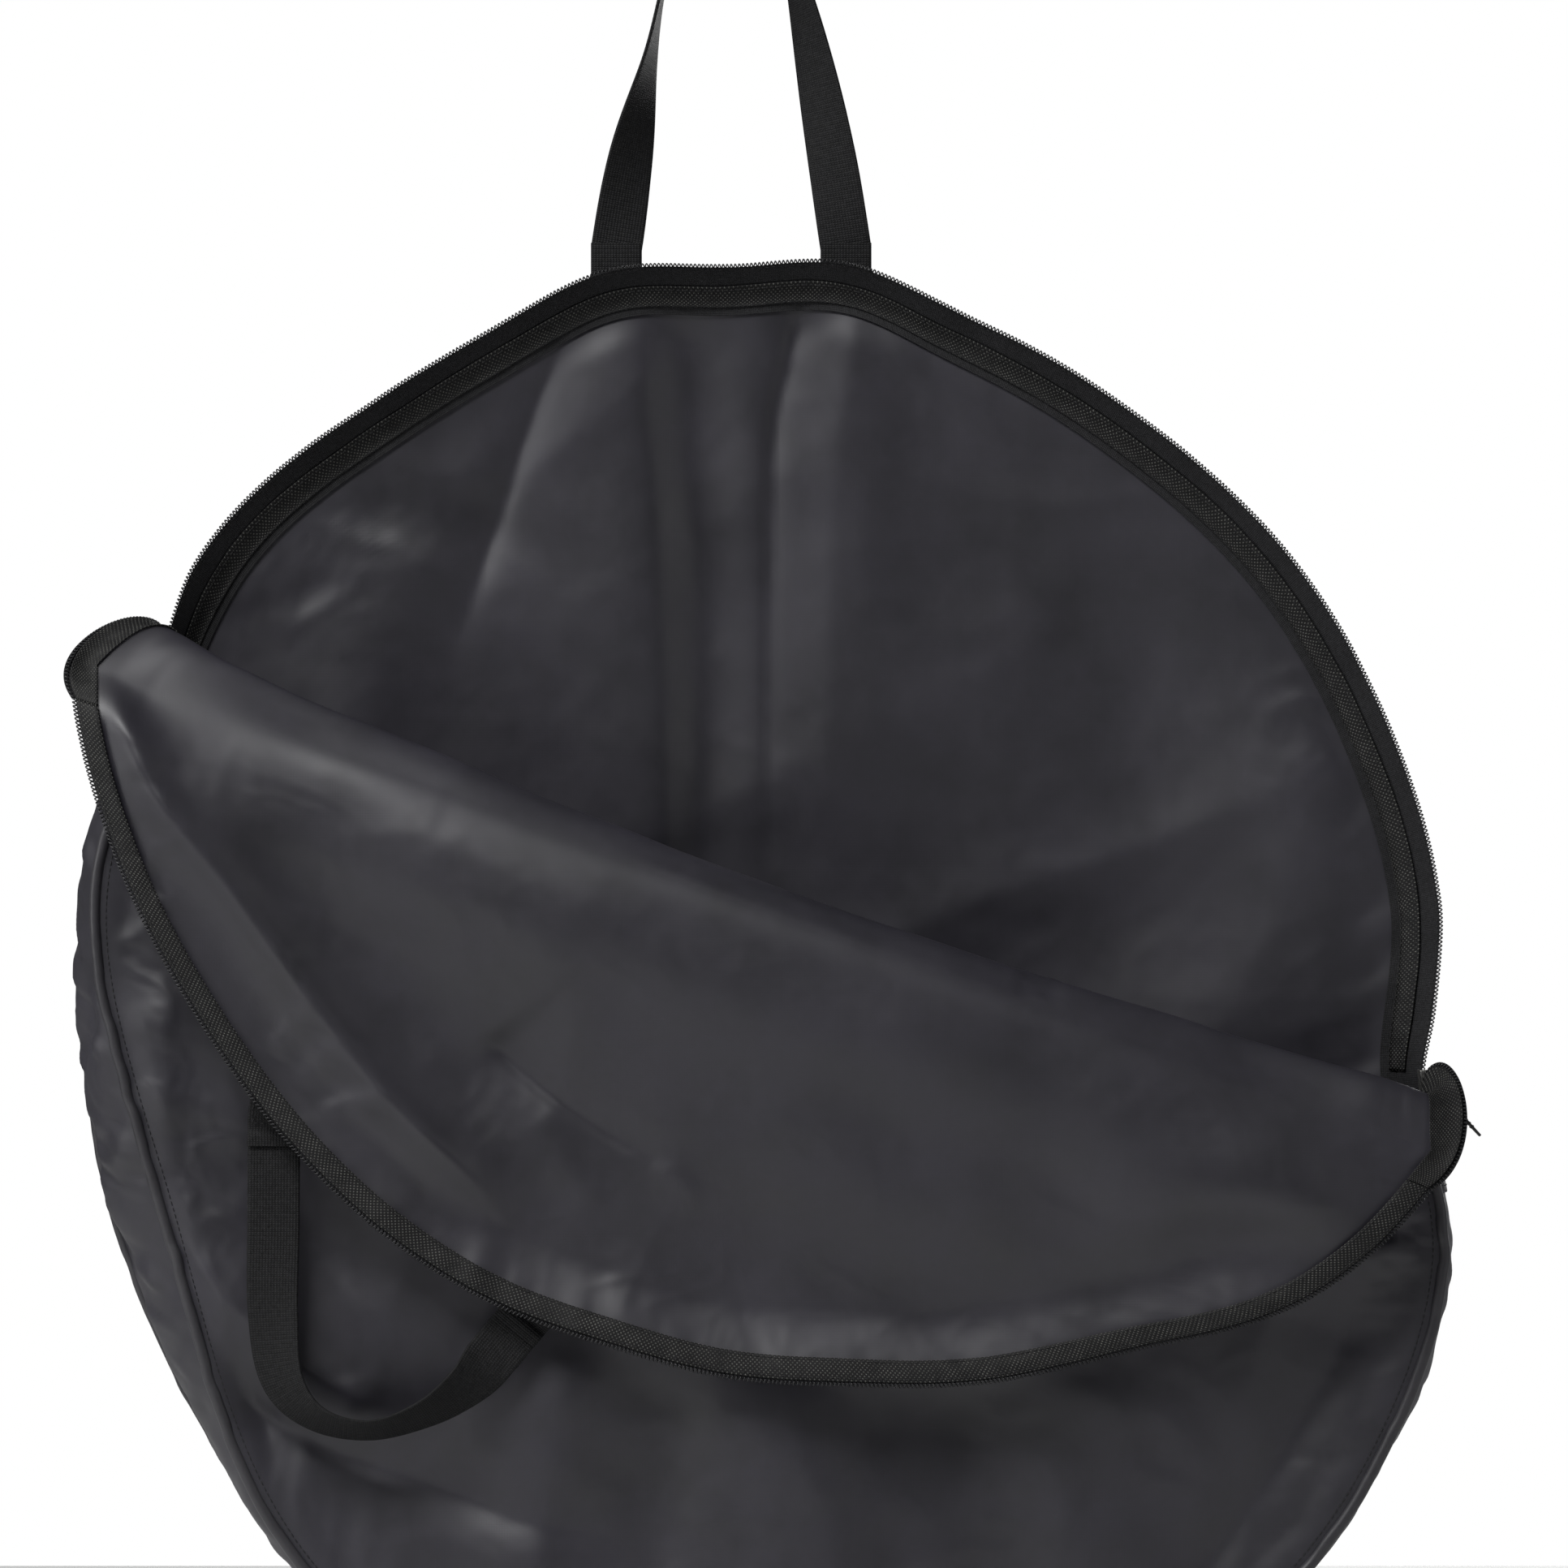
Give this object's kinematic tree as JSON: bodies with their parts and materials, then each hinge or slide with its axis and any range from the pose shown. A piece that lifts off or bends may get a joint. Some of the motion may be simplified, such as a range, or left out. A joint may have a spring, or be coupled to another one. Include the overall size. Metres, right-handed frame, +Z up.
{
  "type": "bike wheel bag",
  "caption": "Round soft carry bag for a bike wheel, hanging open from its webbing handle, with the zip undone over the top and the upper front panel folded forward.",
  "frame": {"origin": "middle of the back handle's grip, where a hand or a hook carries the bag", "axes": "+Z up as the bag hangs, -Y out of its front face, +X to the right as seen from the front"},
  "size_m": [0.7669, 0.1286, 1.0265],
  "materials": {
    "outer_fabric": "coated woven polyester with a soft sheen",
    "inner_fabric": "coated inner side of the woven polyester, with a satin sheen",
    "webbing": "woven polypropylene webbing, matt",
    "piping": "coated fabric over a cord",
    "zip_tape": "woven polyester zip tape, matt",
    "zip_coil": "black nylon coil",
    "binding": "coarse woven binding tape",
    "slider_metal": "nickel plated zinc",
    "pull": "black moulded pull tab"
  },
  "bodies": {
    "back_handle": {"handle_back_loop": "webbing"},
    "bag": {"back_panel": "inner_fabric", "front_panel": "outer_fabric", "fold_roll": "outer_fabric", "gusset": "outer_fabric", "gusset_hem_left": "outer_fabric", "gusset_hem_right": "outer_fabric", "piping_front": "piping", "piping_back": "piping", "zip_tape_back": "zip_tape", "zip_coil_back": "zip_coil", "binding_back": "binding", "zip_end_left": "zip_tape", "zip_end_right": "zip_tape", "zip_turn_left": "zip_tape", "zip_turn_right": "zip_tape", "handle_back_end_left": "webbing", "handle_back_end_right": "webbing"},
    "flap": {"front_flap": "inner_fabric", "zip_tape_flap": "zip_tape", "zip_coil_flap": "zip_coil", "binding_flap": "binding", "handle_front_end_left": "webbing", "handle_front_end_right": "webbing"},
    "front_handle": {"handle_front_loop": "webbing"},
    "zip_slider_left": {"slider_left": "slider_metal"},
    "zip_slider_right": {"slider_right": "slider_metal"},
    "zip_pull_left": {"pull_left": "pull"},
    "zip_pull_right": {"pull_right": "pull"}
  },
  "joints": [
    {"name": "bag_swing", "type": "hinge", "parent": "back_handle", "child": "bag", "pos_m": [0, 0.00865, -0.19199], "axis": [1, 0, 0], "range_deg": [0, 150]},
    {"name": "flap_fold", "type": "hinge", "parent": "bag", "child": "flap", "pos_m": [0.03093, -0.083, -0.51027], "axis": [-0.9403, 0, 0.3404], "range_deg": [0, 165], "deforming": ["fold_roll", "zip_turn_left", "zip_turn_right"]},
    {"name": "front_handle_swing", "type": "hinge", "parent": "flap", "child": "front_handle", "pos_m": [-0.24417, -0.06655, -0.66993], "axis": [0.7984, -0.0342, -0.6012], "range_deg": [-24, 2]},
    {"name": "slider_left_run", "type": "hinge", "parent": "bag", "child": "zip_slider_left", "pos_m": [-0.033, -0.022, -0.556], "axis": [0, 1, 0], "range_deg": [0, 40]},
    {"name": "slider_right_run", "type": "hinge", "parent": "bag", "child": "zip_slider_right", "pos_m": [0.045, -0.022, -0.572], "axis": [0, -1, 0], "range_deg": [0, 68]},
    {"name": "pull_left_swing", "type": "hinge", "parent": "zip_slider_left", "child": "zip_pull_left", "pos_m": [-0.31532, -0.022, -0.40474], "axis": [0, 1, 0], "range_deg": [0, 145]},
    {"name": "pull_right_swing", "type": "hinge", "parent": "zip_slider_right", "child": "zip_pull_right", "pos_m": [0.38312, -0.022, -0.64472], "axis": [0, -1, 0], "range_deg": [0, 125]}
  ]
}
